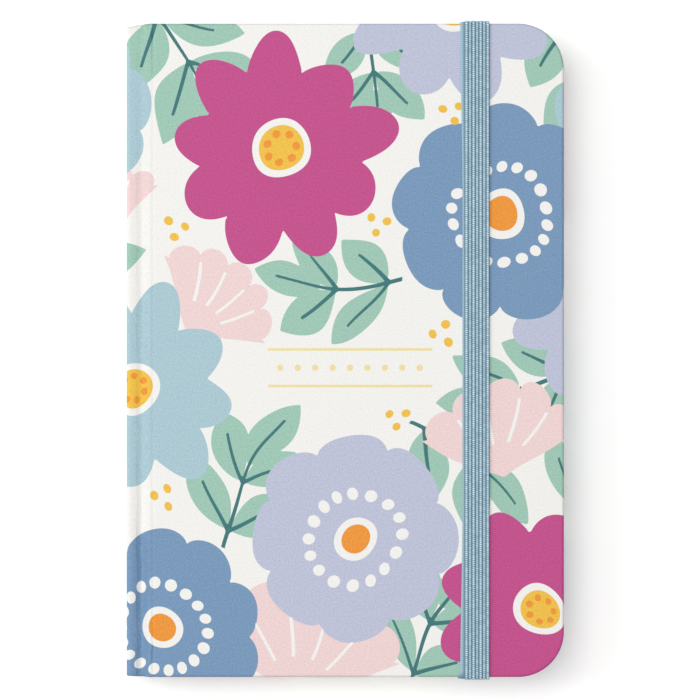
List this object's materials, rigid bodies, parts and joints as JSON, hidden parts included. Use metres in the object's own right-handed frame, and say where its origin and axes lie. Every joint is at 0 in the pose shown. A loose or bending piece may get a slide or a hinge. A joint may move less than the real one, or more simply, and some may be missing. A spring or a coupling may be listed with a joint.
{
  "type": "address book",
  "caption": "Hard case-bound pocket address book with step-cut index sections, rounded corners, printed paper cover and an elastic closing strap.",
  "frame": {"origin": "middle of the footprint on the table, under the back cover", "axes": "+X from the spine to the fore-edge, +Y from tail to head, +Z from back cover to front cover; the book lies closed on its back cover"},
  "size_m": [0.1004, 0.1516, 0.018],
  "materials": {
    "grey_board": "matt",
    "printed_paper": "matt",
    "filler_paper": "matt",
    "endpaper": "matt",
    "page_paper": "matt",
    "linen_thread": "matt",
    "lining_cloth": "matt",
    "woven_band": "satin",
    "knitted_elastic": "matt"
  },
  "bodies": {
    "back_cover_and_block": {"back_board": "grey_board", "back_cover_paper": "printed_paper", "back_joint_paper": "printed_paper", "back_board_filler": "filler_paper", "spine_board": "grey_board", "spine_cover_paper": "printed_paper", "front_joint_paper": "printed_paper", "front_endpaper_fold": "endpaper", "back_pastedown": "endpaper", "back_endpaper_fold": "endpaper", "back_flyleaf": "endpaper", "sewn_folds": "page_paper", "sewing_threads": "linen_thread", "spine_lining": "lining_cloth", "head_band": "woven_band", "tail_band": "woven_band", "birthday_section": "page_paper", "strap_anchor_head": "knitted_elastic", "strap_anchor_tail": "knitted_elastic"},
    "front_cover": {"front_board": "grey_board", "front_cover_paper": "printed_paper", "front_board_filler": "filler_paper", "front_pastedown": "endpaper"},
    "front_flyleaf": {"front_flyleaf": "endpaper"},
    "elastic_strap": {"elastic_strap": "knitted_elastic"},
    "index_section_ab": {"index_section_ab": "page_paper"},
    "index_section_cd": {"index_section_cd": "page_paper"},
    "index_section_ef": {"index_section_ef": "page_paper"},
    "index_section_gh": {"index_section_gh": "page_paper"},
    "index_section_ij": {"index_section_ij": "page_paper"},
    "index_section_kl": {"index_section_kl": "page_paper"},
    "index_section_mn": {"index_section_mn": "page_paper"},
    "index_section_op": {"index_section_op": "page_paper"},
    "index_section_qr": {"index_section_qr": "page_paper"},
    "index_section_st": {"index_section_st": "page_paper"},
    "index_section_uv": {"index_section_uv": "page_paper"},
    "index_section_wx": {"index_section_wx": "page_paper"},
    "index_section_yz": {"index_section_yz": "page_paper"}
  },
  "joints": [
    {"name": "front_cover_hinge", "type": "hinge", "parent": "back_cover_and_block", "child": "front_cover", "pos_m": [-0.04735, 0, 0.016], "axis": [0, -1, 0], "range_deg": [0, 179], "deforming": ["front_joint_paper", "front_endpaper_fold"]},
    {"name": "front_flyleaf_turn", "type": "hinge", "parent": "back_cover_and_block", "child": "front_flyleaf", "pos_m": [-0.0451, 0, 0.0143], "axis": [0, -1, 0], "range_deg": [0, 120]},
    {"name": "index_section_ab_turn", "type": "hinge", "parent": "back_cover_and_block", "child": "index_section_ab", "pos_m": [-0.0447, 0, 0.01378], "axis": [0, -1, 0], "range_deg": [0, 78]},
    {"name": "index_section_cd_turn", "type": "hinge", "parent": "back_cover_and_block", "child": "index_section_cd", "pos_m": [-0.0441, 0, 0.01298], "axis": [0, -1, 0], "range_deg": [0, 72]},
    {"name": "index_section_ef_turn", "type": "hinge", "parent": "back_cover_and_block", "child": "index_section_ef", "pos_m": [-0.0435, 0, 0.01218], "axis": [0, -1, 0], "range_deg": [0, 66]},
    {"name": "index_section_gh_turn", "type": "hinge", "parent": "back_cover_and_block", "child": "index_section_gh", "pos_m": [-0.0429, 0, 0.01137], "axis": [0, -1, 0], "range_deg": [0, 60]},
    {"name": "index_section_ij_turn", "type": "hinge", "parent": "back_cover_and_block", "child": "index_section_ij", "pos_m": [-0.0423, 0, 0.01057], "axis": [0, -1, 0], "range_deg": [0, 54]},
    {"name": "index_section_kl_turn", "type": "hinge", "parent": "back_cover_and_block", "child": "index_section_kl", "pos_m": [-0.0417, 0, 0.00978], "axis": [0, -1, 0], "range_deg": [0, 48]},
    {"name": "index_section_mn_turn", "type": "hinge", "parent": "back_cover_and_block", "child": "index_section_mn", "pos_m": [-0.0411, 0, 0.00898], "axis": [0, -1, 0], "range_deg": [0, 42]},
    {"name": "index_section_op_turn", "type": "hinge", "parent": "back_cover_and_block", "child": "index_section_op", "pos_m": [-0.0405, 0, 0.00817], "axis": [0, -1, 0], "range_deg": [0, 36]},
    {"name": "index_section_qr_turn", "type": "hinge", "parent": "back_cover_and_block", "child": "index_section_qr", "pos_m": [-0.0399, 0, 0.00737], "axis": [0, -1, 0], "range_deg": [0, 30]},
    {"name": "index_section_st_turn", "type": "hinge", "parent": "back_cover_and_block", "child": "index_section_st", "pos_m": [-0.0393, 0, 0.00658], "axis": [0, -1, 0], "range_deg": [0, 24]},
    {"name": "index_section_uv_turn", "type": "hinge", "parent": "back_cover_and_block", "child": "index_section_uv", "pos_m": [-0.0387, 0, 0.00577], "axis": [0, -1, 0], "range_deg": [0, 18]},
    {"name": "index_section_wx_turn", "type": "hinge", "parent": "back_cover_and_block", "child": "index_section_wx", "pos_m": [-0.0381, 0, 0.00498], "axis": [0, -1, 0], "range_deg": [0, 12]},
    {"name": "index_section_yz_turn", "type": "hinge", "parent": "back_cover_and_block", "child": "index_section_yz", "pos_m": [-0.0375, 0, 0.00417], "axis": [0, -1, 0], "range_deg": [0, 6]},
    {"name": "strap_release", "type": "hinge", "parent": "back_cover_and_block", "child": "elastic_strap", "pos_m": [0.0297, 0, 0.00215], "axis": [0, 1, 0], "range_deg": [0, 180], "deforming": ["elastic_strap"]}
  ],
  "couplings": [
    {"joint": "front_flyleaf_turn", "follows": "front_cover_hinge", "ratio": 0.67039},
    {"joint": "index_section_ab_turn", "follows": "front_cover_hinge", "ratio": 0.43575},
    {"joint": "index_section_cd_turn", "follows": "front_cover_hinge", "ratio": 0.40223},
    {"joint": "index_section_ef_turn", "follows": "front_cover_hinge", "ratio": 0.36872},
    {"joint": "index_section_gh_turn", "follows": "front_cover_hinge", "ratio": 0.3352},
    {"joint": "index_section_ij_turn", "follows": "front_cover_hinge", "ratio": 0.30168},
    {"joint": "index_section_kl_turn", "follows": "front_cover_hinge", "ratio": 0.26816},
    {"joint": "index_section_mn_turn", "follows": "front_cover_hinge", "ratio": 0.23464},
    {"joint": "index_section_op_turn", "follows": "front_cover_hinge", "ratio": 0.20112},
    {"joint": "index_section_qr_turn", "follows": "front_cover_hinge", "ratio": 0.1676},
    {"joint": "index_section_st_turn", "follows": "front_cover_hinge", "ratio": 0.13408},
    {"joint": "index_section_uv_turn", "follows": "front_cover_hinge", "ratio": 0.10056},
    {"joint": "index_section_wx_turn", "follows": "front_cover_hinge", "ratio": 0.067039},
    {"joint": "index_section_yz_turn", "follows": "front_cover_hinge", "ratio": 0.03352},
    {"joint": "strap_release", "follows": "front_cover_hinge", "ratio": 1.0056}
  ]
}
